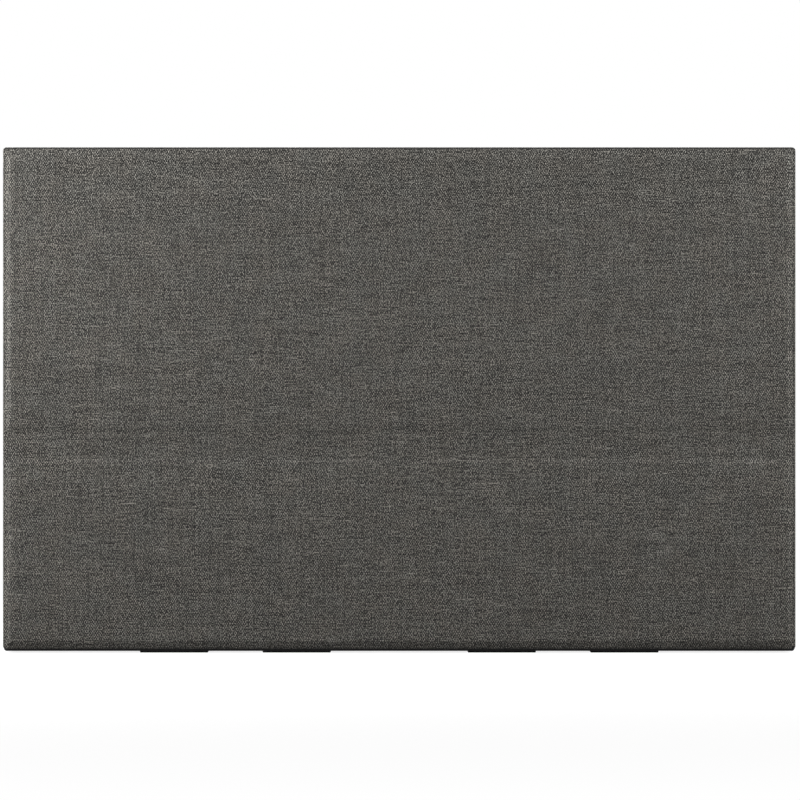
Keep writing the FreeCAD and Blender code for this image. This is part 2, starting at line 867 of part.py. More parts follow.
def controls():
    """Power button and menu rocker with their switches on a small upright board."""
    tall, deep = power_size
    cap = pill(control_y, power_place, tall, deep, flange_inner, housing_half + button_proud)
    flange = block(
        flange_inner,
        inner_half,
        control_y - deep / 2 - button_lip,
        control_y + deep / 2 + button_lip,
        power_place - tall / 2 - button_lip,
        power_place + tall / 2 + button_lip,
    )
    s = button_stem
    stem = block(stem_end, inner_half, control_y - s, control_y + s, power_place - s, power_place + s)
    save("power_button", joined([cap, flange, stem]))

    tall, deep = rocker_size
    cap = pill(control_y, rocker_place, tall, deep, inner_half + ear_gap, housing_half + button_proud)
    rib = block(
        pivot_x,
        inner_half + root,
        control_y - pivot_boss,
        control_y + pivot_boss,
        rocker_place - pivot_radius * 2,
        rocker_place + pivot_radius * 2,
    )
    boss = pin(pivot_radius * 2, control_y - pivot_boss, control_y + pivot_boss, pivot_x, rocker_place)
    hole_reach = pivot_boss + past
    hole_radius = pivot_radius + pivot_clearance
    hole = pin(hole_radius, control_y - hole_reach, control_y + hole_reach, pivot_x, rocker_place)
    toes = []
    for side in (-1, 1):
        z = rocker_place + side * (tall / 2 - toe_inset)
        toes.append(block(stem_end, inner_half + root, control_y - s, control_y + s, z - s, z + s))
    save("menu_rocker", joined([cap, rib, boss] + toes).cut(hole))
    reach = pivot_boss + pivot_clearance + lug_thickness
    save("rocker_pin", pin(pivot_radius, control_y - reach, control_y + reach, pivot_x, rocker_place))

    low = key_ribbon_low
    high = power_place + control_high
    front = tray_back + sheet_clearance
    back = control_y + control_back
    save("button_board", block(switch_base - control_board, switch_base, front, back, low, high))
    w, d, t = switch_size
    keys = []
    for z in (power_place, rocker_place + tall / 2 - toe_inset, rocker_place - tall / 2 + toe_inset):
        base = block(switch_base, switch_base + t, control_y - d / 2, control_y + d / 2, z - w / 2, z + w / 2)
        knob = rod(w / 4, switch_base + t / 2, switch_top, control_y, z)
        keys.append(joined([base, knob]))
    save("button_switches", *keys)


cover()
bezel()
display_panel()
pads = feet()
for number, pad in enumerate(pads, 1):
    save("foot_" + str(number), pad)
rear_housing(pads)
hinges()
stand()
electronics()
speakers()
speaker_wires()
controls()
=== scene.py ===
import json
import math

import bmesh
import bpy
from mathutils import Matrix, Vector


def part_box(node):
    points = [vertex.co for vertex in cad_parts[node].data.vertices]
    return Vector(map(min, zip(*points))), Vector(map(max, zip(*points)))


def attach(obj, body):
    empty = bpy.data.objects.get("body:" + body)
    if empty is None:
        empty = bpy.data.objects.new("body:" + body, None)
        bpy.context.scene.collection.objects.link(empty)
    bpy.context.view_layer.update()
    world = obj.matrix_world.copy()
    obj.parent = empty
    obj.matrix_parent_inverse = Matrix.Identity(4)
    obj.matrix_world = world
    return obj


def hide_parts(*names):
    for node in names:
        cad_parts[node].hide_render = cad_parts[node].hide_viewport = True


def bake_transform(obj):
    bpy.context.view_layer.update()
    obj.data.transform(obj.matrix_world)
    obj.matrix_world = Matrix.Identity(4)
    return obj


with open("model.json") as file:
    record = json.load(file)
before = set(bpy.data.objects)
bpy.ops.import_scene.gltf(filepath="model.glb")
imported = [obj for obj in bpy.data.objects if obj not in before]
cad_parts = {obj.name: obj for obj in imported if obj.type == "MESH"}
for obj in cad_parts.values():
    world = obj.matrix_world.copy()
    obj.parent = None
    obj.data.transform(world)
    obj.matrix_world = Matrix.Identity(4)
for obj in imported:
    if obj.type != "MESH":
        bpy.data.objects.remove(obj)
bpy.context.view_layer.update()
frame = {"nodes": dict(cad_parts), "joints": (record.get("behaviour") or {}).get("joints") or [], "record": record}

nodes = frame["nodes"]
joint_at = {joint["name"]: Vector(joint["pos_m"]) for joint in frame["joints"] if "pos_m" in joint}
slot_of = {part["node"]: part["material_slot"] for part in frame["record"]["subparts"]}

# Levels of the cover, from the frame, in metres
lower_low, lower_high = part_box("lower_fabric")
upper_low, upper_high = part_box("upper_fabric")
fold_low, fold_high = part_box("fold_fabric")
spine_low, spine_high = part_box("spine_fabric")
lining_low, lining_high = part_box("lower_lining")
upper_crease = joint_at["fold_upper_crease"].z
lower_crease = joint_at["fold_lower_crease"].z
cover_half = lower_high.x
free_edge = lower_low.z
sheet_front = fold_low.y
half_sheet = (fold_high.y - fold_low.y) / 2
board_lift = sheet_front - lower_low.y
strip_middle = (upper_crease + lower_crease) / 2

# Sizes of the cloth
corner_radius = 0.0014
corner_run = 0.0060       # over which the free edge's hem changes beside a corner
hem_flat = 0.0012
hem_slope = 0.0024
free_flat = 0.0003        # at the free edge, away from its corners
free_slope = 0.0033
strip_slope = 0.0090      # at both ends of the fold strip
upper_fold_slope = 0.0024
lower_fold_slope = 0.0022
top_slope = 0.0030
strip_lift_low = 0.5      # of a board's lift, at the lower crease
strip_lift_high = 0.7     # at the upper crease
ramp_soft = 0.12          # share of a slope that is rounded, past and before each end
top_soft = 0.5
turn_in = 0.0074
top_round = 0.0014
top_corner = 0.0009
back_round = 0.0014
flap_half = 0.0012

# Sizes of the lining
lining_pad = 0.0001
lining_edge = 0.0006
lining_groove = 0.00025
groove_half = 0.0008
inner_corner = 0.0001

# Seams and bends between the lengths of cloth
panel_seam = 0.200
seam_back = 0.0060        # along the top, from its front bend
crease_reach = 0.0019     # of a bend, to each side of its crease

# Lines that divide the flat cloth
slope_parts = 6
hem_marks = (-0.5, 0, 0.5, 1.8, 3, 4.2, 5.5, 6, 6.5)        # parts of a hem's slope
fold_marks = (-0.6, 0, 0.6, 2, 4, 5.4, 6, 6.6)              # parts of a slope beside a crease
rim_steps = 6
crease_steps = 7
shoulder_steps = 8
front_steps = 10
top_steps = 6
back_steps = 8
face_columns = (0.060, 0.120)
face_row = 0.030
flap_row = 0.0150
turned_row = 0.0040
lining_row = 0.0010
lining_tail = 0.0007
cut_reach = 1e-7
same_place = 1e-6
merge_reach = 2e-6
no_low_end = -1.0         # ends of a length that goes on past its rows
no_high_end = 1.0

# Path of the cloth's outer face: up the front, over the top and down the back
front_end = spine_high.z - top_round
top_start = front_end + top_round * math.pi / 2
top_end = top_start + spine_high.y - back_round - sheet_front - top_round
back_start = top_end + back_round * math.pi / 2
back_end = back_start + spine_high.z - back_round - spine_low.z
flap_end = back_end - (flap_half - half_sheet)
top_seam = top_start + seam_back

# Yarns of the cloth, in threads per metre and shares
warp_count = 1886.0
weft_count = 1193.0
warp_yarn = {"salt": 0.31, "fibre_rate": 0.07, "fibre": 0.30, "slub": 0.16, "base": 0.38}
weft_yarn = {"salt": 0.73, "fibre_rate": 0.04, "fibre": 0.22, "slub": 0.28, "base": 0.00}
yarn_pale = (0.258, 0.2462, 0.2215, 1)
yarn_dark = (0.006, 0.0057, 0.0052, 1)
yarn_warm = (1.015, 1.00, 0.98, 1)
yarn_cool = (0.985, 1.00, 1.00, 1)
yarn_depth = 0.00016

# Painted shade lines along the creases
top_crease_rise = 0.0009
top_crease = front_end + top_crease_rise
top_crease_half = 0.0005
crease_shade = 0.2
lining_shade = 0.5

# Window of the bezel, and the screen's black border inside it
window_half = 0.1721
window_low = 0.0255
window_high = 0.2191
border_wide = 0.0016
border_soft = 0.0001
border_black = (0.004, 0.004, 0.0045, 1)

# Grain of each finish: pale and dark colour, least and most roughness, and other settings
grain_size = 3000.0       # grains per metre
grain_relief = 0.25
grain_depth = 0.00003
grains = {
    "cover_lining": ((0.046, 0.046, 0.048), (0.018, 0.018, 0.019), (0.85, 0.98),
                     {"size": 1400.0, "gloss": 0.2, "sheen": 0.2}),
    "cover_stiffener": ((0.30, 0.28, 0.25), (0.20, 0.19, 0.17), (0.80, 0.95), {}),
    "magnet_metal": ((0.60, 0.60, 0.61), (0.48, 0.48, 0.50), (0.30, 0.42), {"metal": 1.0}),
    "housing_plastic": ((0.026, 0.026, 0.028), (0.014, 0.014, 0.015), (0.48, 0.62), {"gloss": 0.2}),
    "bezel_plastic": ((0.018, 0.018, 0.019), (0.010, 0.010, 0.011), (0.40, 0.52), {"gloss": 0.15}),
    "screen_glass": ((0.014, 0.015, 0.018), (0.010, 0.011, 0.013), (0.22, 0.28), {"gloss": 0.35}),
    "optical_plastic": ((0.86, 0.88, 0.90), (0.78, 0.80, 0.84), (0.20, 0.30), {}),
    "panel_plastic": ((0.66, 0.66, 0.66), (0.56, 0.56, 0.56), (0.50, 0.65), {}),
    "tray_metal": ((0.68, 0.69, 0.71), (0.58, 0.59, 0.61), (0.30, 0.45), {"metal": 1.0}),
    "foam": ((0.060, 0.060, 0.060), (0.035, 0.035, 0.035), (0.90, 1.00), {}),
    "board_laminate": ((0.030, 0.110, 0.060), (0.012, 0.070, 0.036), (0.30, 0.45), {}),
    "chip_plastic": ((0.026, 0.026, 0.026), (0.015, 0.015, 0.015), (0.45, 0.60), {}),
    "plated_steel": ((0.33, 0.335, 0.34), (0.24, 0.245, 0.25), (0.28, 0.42), {"metal": 1.0}),
    "contact_plastic": ((0.030, 0.030, 0.032), (0.018, 0.018, 0.020), (0.40, 0.55), {}),
    "flex_film": ((0.26, 0.12, 0.030), (0.18, 0.080, 0.020), (0.25, 0.40), {}),
    "speaker_plastic": ((0.030, 0.030, 0.030), (0.018, 0.018, 0.018), (0.45, 0.60), {}),
    "foot_rubber": ((0.011, 0.011, 0.012), (0.006, 0.006, 0.006), (0.75, 0.92), {"gloss": 0.1}),
    "stand_paint": ((0.040, 0.041, 0.044), (0.024, 0.025, 0.027), (0.34, 0.46), {}),
    "key_plastic": ((0.028, 0.028, 0.030), (0.016, 0.016, 0.017), (0.35, 0.48), {"gloss": 0.3}),
    "blackened_steel": ((0.075, 0.075, 0.078), (0.045, 0.045, 0.048), (0.34, 0.48), {"metal": 1.0}),
}


def on_path(s):
    """Point and outward direction on the cloth's outer face; s is the height while on the front."""
    if s <= front_end:
        return Vector((0, sheet_front, s)), Vector((0, -1, 0))
    if s <= top_start:
        turn = (s - front_end) / top_round
        out = Vector((0, -math.cos(turn), math.sin(turn)))
        return Vector((0, sheet_front + top_round, front_end)) + out * top_round, out
    if s <= top_end:
        return Vector((0, sheet_front + top_round + s - top_start, spine_high.z)), Vector((0, 0, 1))
    if s <= back_start:
        turn = (s - top_end) / back_round
        out = Vector((0, math.sin(turn), math.cos(turn)))
        return Vector((0, spine_high.y - back_round, spine_high.z - back_round)) + out * back_round, out
    return Vector((0, spine_high.y, spine_high.z - back_round - (s - back_start))), Vector((0, 1, 0))


def limited(t):
    """Value kept between 0 and 1."""
    return min(max(t, 0.0), 1.0)


def eased(t, soft=ramp_soft):
    """Ramp from 0 to 1 with rounded ends."""
    if t <= -soft:
        return 0.0
    if t >= 1 + soft:
        return 1.0
    if t < soft:
        return (t + soft) ** 2 / (4 * soft)
    if t > 1 - soft:
        return 1 - (1 + soft - t) ** 2 / (4 * soft)
    return t


def evenly(start, end, count):
    """Values from start to end in equal steps."""
    return [start + (end - start) * k / count for k in range(count + 1)]


def half_thickness(s):
    """Half of the cover's thickness: cloth and lining on the front, with a board in the flap."""
    return half_sheet + (flap_half - half_sheet) * eased((s - top_start) / (back_start - top_start))


def narrowed(s):
    """How much narrower the cover is on each side where it goes over the top."""
    turn = min(max((s - front_end) / top_round, 0.0), max((back_start - s) / back_round, 0.0), math.pi / 2)
    return top_corner * (1 - math.cos(turn))


def board_under(x, s):
    """How far a board lifts the cloth, sloped at the hems and less on the fold strip."""
    inset = cover_half - abs(x) - hem_flat
    run = limited((cover_half - corner_radius - abs(x)) / corner_run)
    flat = hem_flat + (free_flat - hem_flat) * run
    slope = hem_slope + (free_slope - hem_slope) * run
    ends = min(eased((s - free_edge - flat) / slope), eased((upper_high.z - s) / top_slope, top_soft))
    if s < strip_middle:
        panel = eased((lower_high.z - s) / lower_fold_slope)
    else:
        panel = eased((s - upper_low.z) / upper_fold_slope)
    up_strip = limited((s - lower_high.z) / (upper_low.z - lower_high.z))
    strip_lift = strip_lift_low + (strip_lift_high - strip_lift_low) * up_strip
    on_panel = min(eased(inset / hem_slope), ends)
    on_strip = strip_lift * min(eased(inset / strip_slope), ends)
    return board_lift * (on_strip + (on_panel - on_strip) * panel)


def round_rim(over):
    """Angle turned round a rim and reach along the inner face, for cloth this far past the rim's start."""
    turn = min(max(over / half_sheet, 0.0), math.pi)
    return turn, max(over - math.pi * half_sheet, 0.0)


def cloth_point(u, s, low, high):
    """Where a point of the flat cloth lies on the finished cover; low and high are its ends."""
    side = math.copysign(1.0, u)
    turn_u, reach_u = round_rim(abs(u) - cover_half + half_sheet)
    turn_s, reach_s = round_rim(max(low + half_sheet - s, s - high + half_sheet))
    inner_u = half_sheet + reach_u
    inner_s = half_sheet + reach_s
    s_on = min(max(s, low + half_sheet), high - half_sheet)
    if reach_u > 0:
        s_on = min(max(s_on, low + inner_u), high - inner_u)
    point, out = on_path(s_on)
    half = half_thickness(s_on)
    rim = cover_half - half - narrowed(s_on)
    x = min(abs(u) * rim / (cover_half - half_sheet), rim)
    if turn_u == 0 and turn_s == 0:
        point += out * board_under(x, s_on)
    elif turn_u > 0:
        point += out * half * (math.cos(turn_u) - 1)
        x = rim + half * math.sin(turn_u) - reach_u
    else:
        point += out * half * (math.cos(turn_s) - 1)
        point.z -= half * math.sin(turn_s) - reach_s
        if reach_s > 0:
            x = min(x, cover_half - inner_s)
    point.x = side * x
    return point


def rim_lines(flat, slope):
    """Distances from a rim, over the front and then round it, at which the cloth is divided."""
    ramp = [flat + slope * k / slope_parts for k in hem_marks]
    front = [d for d in ramp if d > half_sheet] + [half_sheet, corner_radius, corner_run]
    turn = [half_sheet - math.pi * half_sheet * k / rim_steps for k in range(1, rim_steps + 1)]
    reach = [turn[-1] - (d - half_sheet) for d in (corner_radius, turned_row, turn_in)]
    return front + turn + reach


def crease_lines(crease, panel_edge, slope):
    """Heights at which the cloth is divided round a crease and up the slope of the board beside it."""
    bend = [crease + crease_reach * k / crease_steps for k in range(-crease_steps, crease_steps + 1)]
    ramp = [panel_edge + slope * k / slope_parts for k in fold_marks]
    return bend + [z for z in ramp if abs(z - crease) > crease_reach]


def flat_cloth(columns, rows):
    """Flat sheet in X and Z, divided along each column and row, with its flat place kept as a UV map."""
    bm = bmesh.new()
    columns = sorted(columns)
    rows = sorted(rows)
    left, right = columns[0], columns[-1]
    bottom, top = rows[0], rows[-1]
    corners = [(left, bottom), (right, bottom), (right, top), (left, top)]
    bm.faces.new([bm.verts.new((x, 0, z)) for x, z in corners])
    for lines, normal in ((columns, Vector((1, 0, 0))), (rows, Vector((0, 0, 1)))):
        for value in lines[1:-1]:
            whole = bm.verts[:] + bm.edges[:] + bm.faces[:]
            bmesh.ops.bisect_plane(
                bm,
                geom=whole,
                plane_co=normal * value,
                plane_no=normal,
                dist=cut_reach,
            )
    cloth = bm.loops.layers.uv.new("cloth")
    for face in bm.faces:
        for loop in face.loops:
            loop[cloth].uv = (loop.vert.co.x, loop.vert.co.z)
    return bm


def finished(bm, name, material):
    """Object from a bmesh, smooth shaded."""
    for face in bm.faces:
        face.smooth = True
    mesh = bpy.data.meshes.new(name)
    bm.to_mesh(mesh)
    bm.free()
    mesh.materials.append(material)
    piece = bpy.data.objects.new(name, mesh)
    bpy.context.scene.collection.objects.link(piece)
    return piece


def corner_chain(bm, end, inward, side):
    """Edges that run beside a free end's corner, from its front round the rim to the inner face."""
    corner_x = side * (cover_half - corner_radius)
    inner_stop = half_sheet - math.pi * half_sheet - (corner_radius - half_sheet)
    chain = []
    for edge in bm.edges:
        on_line = all(abs(v.co.x - corner_x) < same_place for v in edge.verts)
        depth = [(v.co.z - end) * inward for v in edge.verts]
        if on_line and min(depth) > inner_stop - same_place and max(depth) < corner_radius + same_place:
            chain.append(edge)
    return chain


def outer_cloth(name, rows, low, high, material):
    """One length of the outer cloth, turned in round its rims, with spun corners at a free end."""
    corner_x = cover_half - corner_radius
    side_lines = rim_lines(hem_flat, hem_slope)
    end_lines = sorted(set(side_lines + rim_lines(free_flat, free_slope)))
    half_columns = [*face_columns, corner_x - corner_run] + [cover_half - d for d in side_lines]
    columns = [0.0] + [side * x for side in (-1, 1) for x in half_columns]
    ends = [(low, 1)] if low != no_low_end else []
    ends += [(high, -1)] if high != no_high_end else []
    marks = list(rows)
    for end, inward in ends:
        marks += [end + inward * d for d in end_lines]
    bm = flat_cloth(columns, marks)
    spare = []
    chains = []
    for end, inward in ends:
        for face in bm.faces:
            middle = face.calc_center_median()
            if abs(middle.x) > corner_x and (middle.z - end) * inward < corner_radius:
                spare.append(face)
        for side in (-1, 1):
            chains.append((end, inward, side, corner_chain(bm, end, inward, side)))
    bmesh.ops.delete(bm, geom=spare, context="FACES_KEEP_BOUNDARY")
    for vert in bm.verts:
        vert.co = cloth_point(vert.co.x, vert.co.z, low, high)
    for end, inward, side, chain in chains:
        centre, out = on_path(end + inward * corner_radius)
        centre.x = side * corner_x
        bmesh.ops.spin(
            bm,
            geom=chain,
            cent=centre,
            axis=out,
            angle=side * math.pi / 2,
            steps=rim_steps,
            use_merge=False,
        )
    bmesh.ops.remove_doubles(bm, verts=bm.verts, dist=merge_reach)
    bmesh.ops.dissolve_degenerate(bm, dist=same_place, edges=bm.edges)
    bmesh.ops.recalc_face_normals(bm, faces=bm.faces)
    return finished(bm, name, material)


def inner_lining(name, rows, low, material):
    """One length of the lining, let in round its edge inside the turned-in cloth."""
    half = lining_high.x
    edges = [0.0, lining_edge / 3, lining_edge]
    columns = [0.0] + [side * (half - d) for side in (-1, 1) for d in edges]
    marks = list(rows)
    if low != no_low_end:
        marks += [low + d for d in edges]
    bm = flat_cloth(columns, marks)
    for vert in bm.verts:
        x, s = vert.co.x, vert.co.z
        inset = min(half - abs(x), s - low)
        point, out = on_path(s)
        bent = eased((s - upper_high.z) / (front_end - upper_high.z))
        pad = lining_pad * (2 * eased(inset / lining_edge) - 1)
        depth = 2 * half_sheet + pad * (1 - bent) - inner_corner * bent
        off_crease = min(abs(s - lower_crease), abs(s - upper_crease))
        depth -= lining_groove * max(1 - off_crease / groove_half, 0.0)
        vert.co = Vector((x, point.y, point.z)) - out * depth
    bmesh.ops.reverse_faces(bm, faces=bm.faces)
    return finished(bm, name, material)


def feed(tree, socket, value):
    """Gives a socket a value, or links another socket to it."""
    if isinstance(value, bpy.types.NodeSocket):
        tree.links.new(value, socket)
    else:
        socket.default_value = value


def add(tree, kind, inputs=None, **settings):
    """New shader node with its settings, and inputs given as values or as sockets to link."""
    made = tree.nodes.new(kind)
    for key, value in settings.items():
        setattr(made, key, value)
    for key, value in (inputs or {}).items():
        feed(tree, made.inputs[key], value)
    return made


def calc(tree, operation, *values):
    """Output of a math node."""
    return add(tree, "ShaderNodeMath", dict(enumerate(values)), operation=operation).outputs[0]


def vector_calc(tree, operation, first, second):
    """Output of a vector math node."""
    return add(tree, "ShaderNodeVectorMath", {0: first, 1: second}, operation=operation).outputs[0]


def scaled(tree, vector, factor):
    """Vector or colour times a factor."""
    return add(tree, "ShaderNodeVectorMath", {0: vector, "Scale": factor}, operation="SCALE").outputs[0]


def joined(tree, *values):
    """Vector of single values."""
    return add(tree, "ShaderNodeCombineXYZ", dict(enumerate(values))).outputs[0]


def mixed(tree, factor, first, second):
    """Output of a mix of values."""
    return add(tree, "ShaderNodeMix", {0: factor, 2: first, 3: second}).outputs[0]


def blended(tree, factor, first, second):
    """Output of a mix of colours."""
    return add(tree, "ShaderNodeMix", {0: factor, 6: first, 7: second}, data_type="RGBA").outputs[2]


def spread(tree, value, low, high, new_low=0.0, new_high=1.0):
    """Output of a smooth range map."""
    made = add(
        tree,
        "ShaderNodeMapRange",
        {0: value, 1: low, 2: high, 3: new_low, 4: new_high},
        interpolation_type="SMOOTHSTEP",
    )
    return made.outputs[0]


def cloudy(tree, place, scale, detail):
    """Node of soft noise."""
    return add(tree, "ShaderNodeTexNoise", {"Vector": place, "Scale": scale, "Detail": detail})


def scattered(tree, dimensions, key, place):
    """Random value for each whole place."""
    made = add(tree, "ShaderNodeTexWhiteNoise", {key: place}, noise_dimensions=dimensions)
    return made.outputs["Value"]


def new_group(name, inputs, outputs):
    """Empty shader group with its sockets; returns its tree and its inner input and output sockets."""
    tree = bpy.data.node_groups.new(name, "ShaderNodeTree")
    for label, kind, value in inputs:
        socket = tree.interface.new_socket(label, in_out="INPUT", socket_type="NodeSocket" + kind)
        if value is not None:
            socket.default_value = value
    for label, kind in outputs:
        tree.interface.new_socket(label, in_out="OUTPUT", socket_type="NodeSocket" + kind)
    return tree, tree.nodes.new("NodeGroupInput").outputs, tree.nodes.new("NodeGroupOutput").inputs


def swayed(tree, cloth):
    """Place on the cloth, with threads that wander a little."""
    sway_scale, sway_detail = 90.0, 2.0
    sway_reach = 0.0012
    noise_middle = (0.5, 0.5, 0.5)
    sway = cloudy(tree, cloth, sway_scale, sway_detail).outputs["Color"]
    sway = vector_calc(tree, "SUBTRACT", sway, noise_middle)
    return vector_calc(tree, "ADD", cloth, scaled(tree, sway, sway_reach))


def yarn_tone(tree, yarn, thread, run):
    """How pale a thread is along its run: fibres laid end to end, and slubs."""
    fibre_shift = 40.0
    slub_apart, slub_rate = 3.7, 0.06
    slub_low, slub_high = 0.60, 0.72
    shift = scattered(tree, "1D", "W", calc(tree, "ADD", thread, yarn["salt"]))
    along = calc(tree, "MULTIPLY", run, yarn["fibre_rate"])
    fibre = calc(tree, "FLOOR", calc(tree, "MULTIPLY_ADD", shift, fibre_shift, along))
    fibre = scattered(tree, "3D", "Vector", joined(tree, thread, fibre, yarn["salt"]))
    apart = calc(tree, "MULTIPLY", thread, slub_apart)
    line = joined(tree, apart, calc(tree, "MULTIPLY", run, slub_rate), yarn["salt"])
    slub = spread(tree, cloudy(tree, line, 1.0, 1.0).outputs[0], slub_low, slub_high)
    tone = calc(tree, "MULTIPLY_ADD", fibre, yarn["fibre"], yarn["base"])
    return calc(tree, "MULTIPLY_ADD", slub, yarn["slub"], tone)


def hair_gain(tree, across, along, column, row):
    """Uneven brightness from loose hairs over the threads and from crossing to crossing."""
    hairs_across, hairs_along = 0.86, 1.31        # per thread
    hairs_low, hairs_high = 0.36, 0.64
    hairs_share, crossing_share = 1.7, 0.3
    crossing = scattered(tree, "2D", "Vector", joined(tree, column, row))
    fine_across = calc(tree, "MULTIPLY", across, hairs_across)
    fine_along = calc(tree, "MULTIPLY", along, hairs_along)
    hairs = cloudy(tree, joined(tree, fine_across, fine_along), 1.0, 0.0).outputs[0]
    hairs = spread(tree, hairs, hairs_low, hairs_high)
    base = 1.0 - (crossing_share + hairs_share) / 2
    gain = calc(tree, "MULTIPLY_ADD", crossing, crossing_share, base)
    return calc(tree, "MAXIMUM", calc(tree, "MULTIPLY_ADD", hairs, hairs_share, gain), 0.0)


def weave_group():
    """Plain weave of mixed yarns: pale warp, dark weft, slubs along both, and patches of warm and cool."""
    patch_scale, patch_detail = 75.0, 1.0
    patch_low, patch_high = 0.32, 0.68
    under_share = 0.4
    shade_low, shade_rise = 0.62, 0.45
    tree, given, out = new_group(
        "heather_weave",
        [
            ("Cloth", "Vector", None),
            ("Warp", "Float", warp_count),
            ("Weft", "Float", weft_count),
            ("Pale", "Color", yarn_pale),
            ("Dark", "Color", yarn_dark),
            ("Warm", "Color", yarn_warm),
            ("Cool", "Color", yarn_cool),
        ],
        [("Color", "Color"), ("Height", "Float")],
    )
    place = add(tree, "ShaderNodeSeparateXYZ", {0: swayed(tree, given["Cloth"])}).outputs
    across = calc(tree, "MULTIPLY", place[0], given["Warp"])
    along = calc(tree, "MULTIPLY", place[1], given["Weft"])
    column = calc(tree, "FLOOR", across)
    row = calc(tree, "FLOOR", along)
    weft_up = calc(tree, "FLOORED_MODULO", calc(tree, "ADD", column, row), 2.0)

    warp_tone = yarn_tone(tree, warp_yarn, column, along)
    weft_tone = yarn_tone(tree, weft_yarn, row, across)
    tone = mixed(tree, weft_up, warp_tone, weft_tone)
    tone = calc(tree, "MULTIPLY", tone, hair_gain(tree, across, along, column, row))
    yarn = blended(tree, calc(tree, "MINIMUM", tone, 1.0), given["Dark"], given["Pale"])
    patch = cloudy(tree, given["Cloth"], patch_scale, patch_detail).outputs[0]
    cast = blended(tree, spread(tree, patch, patch_low, patch_high), given["Warm"], given["Cool"])
    yarn = vector_calc(tree, "MULTIPLY", yarn, cast)

    crown = []
    for value in (across, along):
        offset = calc(tree, "MULTIPLY_ADD", calc(tree, "FRACT", value), 2.0, -1.0)
        crown.append(calc(tree, "SUBTRACT", 1.0, calc(tree, "MULTIPLY", offset, offset)))
    over = mixed(tree, weft_up, crown[0], crown[1])
    under = mixed(tree, weft_up, crown[1], crown[0])
    dip = calc(tree, "MULTIPLY_ADD", under, under_share, 1.0 - under_share)
    height = calc(tree, "MULTIPLY", over, dip)
    # Painted shade: the colour is darker towards each thread's edges and where it dips under the crossing thread
    shade = calc(tree, "MULTIPLY_ADD", height, shade_rise, shade_low)
    feed(tree, out["Color"], scaled(tree, yarn, shade))
    feed(tree, out["Height"], height)
    return tree


def grain_group():
    """Fine moulded, painted or napped surface: mottled colour, uneven gloss and small bumps."""
    fine_detail = 3.0
    broad_scale, broad_detail = 28.0, 4.0
    noise_low, noise_high = 0.30, 0.70
    fine_in_colour, fine_in_gloss = 0.65, 0.4
    tree, given, out = new_group(
        "fine_grain",
        [
            ("Place", "Vector", None),
            ("Grain", "Float", grain_size),
            ("Light", "Color", None),
            ("Dark", "Color", None),
            ("Rough low", "Float", None),
            ("Rough high", "Float", None),
        ],
        [("Color", "Color"), ("Roughness", "Float"), ("Height", "Float")],
    )
    fine = cloudy(tree, given["Place"], given["Grain"], fine_detail).outputs[0]
    fine = spread(tree, fine, noise_low, noise_high)
    broad = cloudy(tree, given["Place"], broad_scale, broad_detail).outputs[0]
    broad = spread(tree, broad, noise_low, noise_high)
    tone = mixed(tree, fine_in_colour, broad, fine)
    gloss = mixed(tree, fine_in_gloss, broad, fine)
    feed(tree, out["Color"], blended(tree, tone, given["Dark"], given["Light"]))
    feed(tree, out["Roughness"], mixed(tree, gloss, given["Rough low"], given["Rough high"]))
    feed(tree, out["Height"], fine)
    return tree


def new_material(name):
    """Material with a bare Principled shader; returns it, its tree and the shader."""
    material = bpy.data.materials.new(name)
    material.use_nodes = True
    tree = material.node_tree
    return material, tree, tree.nodes["Principled BSDF"]


def bumped(tree, shader, height, strength, distance):
    """Small relief on the shader's normal."""
    bump = add(tree, "ShaderNodeBump", {"Height": height, "Strength": strength, "Distance": distance})
    feed(tree, shader.inputs["Normal"], bump.outputs[0])


def tinted(tree, shader, shade):
    """Multiplies the shader's colour by a shade that varies over the surface."""
    colour = shader.inputs["Base Color"].links[0].from_socket
    feed(tree, shader.inputs["Base Color"], scaled(tree, colour, shade))


def off_line(tree, value, line):
    """How far a value is from a line."""
    return calc(tree, "ABSOLUTE", calc(tree, "SUBTRACT", value, line))


def woven(name, weave):
    """Heather cloth with a painted shade line along its top crease, on the cloth's own UV map."""
    material, tree, shader = new_material(name)
    cloth = add(tree, "ShaderNodeUVMap", uv_map="cloth").outputs[0]
    made = add(tree, "ShaderNodeGroup", node_tree=weave)
    feed(tree, made.inputs["Cloth"], cloth)
    feed(tree, shader.inputs["Base Color"], made.outputs["Color"])
    along = add(tree, "ShaderNodeSeparateXYZ", {0: cloth}).outputs[1]
    off_crease = off_line(tree, along, top_crease)
    # Painted shade: the colour is darkened in a thin line along the crease of the top bend
    tinted(tree, shader, spread(tree, off_crease, top_crease_half / 2, top_crease_half, crease_shade, 1.0))
    shader.inputs["Roughness"].default_value = 0.9
    shader.inputs["Specular IOR Level"].default_value = 0.2
    shader.inputs["Sheen Weight"].default_value = 0.1
    shader.inputs["Sheen Roughness"].default_value = 0.5
    bumped(tree, shader, made.outputs["Height"], 1.0, yarn_depth)
    return material


def grained(name, grain):
    """Plastic, paint, rubber, metal or nap, on Object coordinates."""
    light, dark, rough, more = grains[name]
    material, tree, shader = new_material(name)
    made = add(tree, "ShaderNodeGroup", node_tree=grain)
    feed(tree, made.inputs["Place"], add(tree, "ShaderNodeTexCoord").outputs["Object"])
    made.inputs["Grain"].default_value = more.get("size", grain_size)
    made.inputs["Light"].default_value = (*light, 1)
    made.inputs["Dark"].default_value = (*dark, 1)
    made.inputs["Rough low"].default_value = rough[0]
    made.inputs["Rough high"].default_value = rough[1]
    feed(tree, shader.inputs["Base Color"], made.outputs["Color"])
    feed(tree, shader.inputs["Roughness"], made.outputs["Roughness"])
    shader.inputs["Metallic"].default_value = more.get("metal", 0.0)
    shader.inputs["Specular IOR Level"].default_value = more.get("gloss", 0.5)
    shader.inputs["Sheen Weight"].default_value = more.get("sheen", 0.0)
    bumped(tree, shader, made.outputs["Height"], grain_relief, grain_depth)
    return material


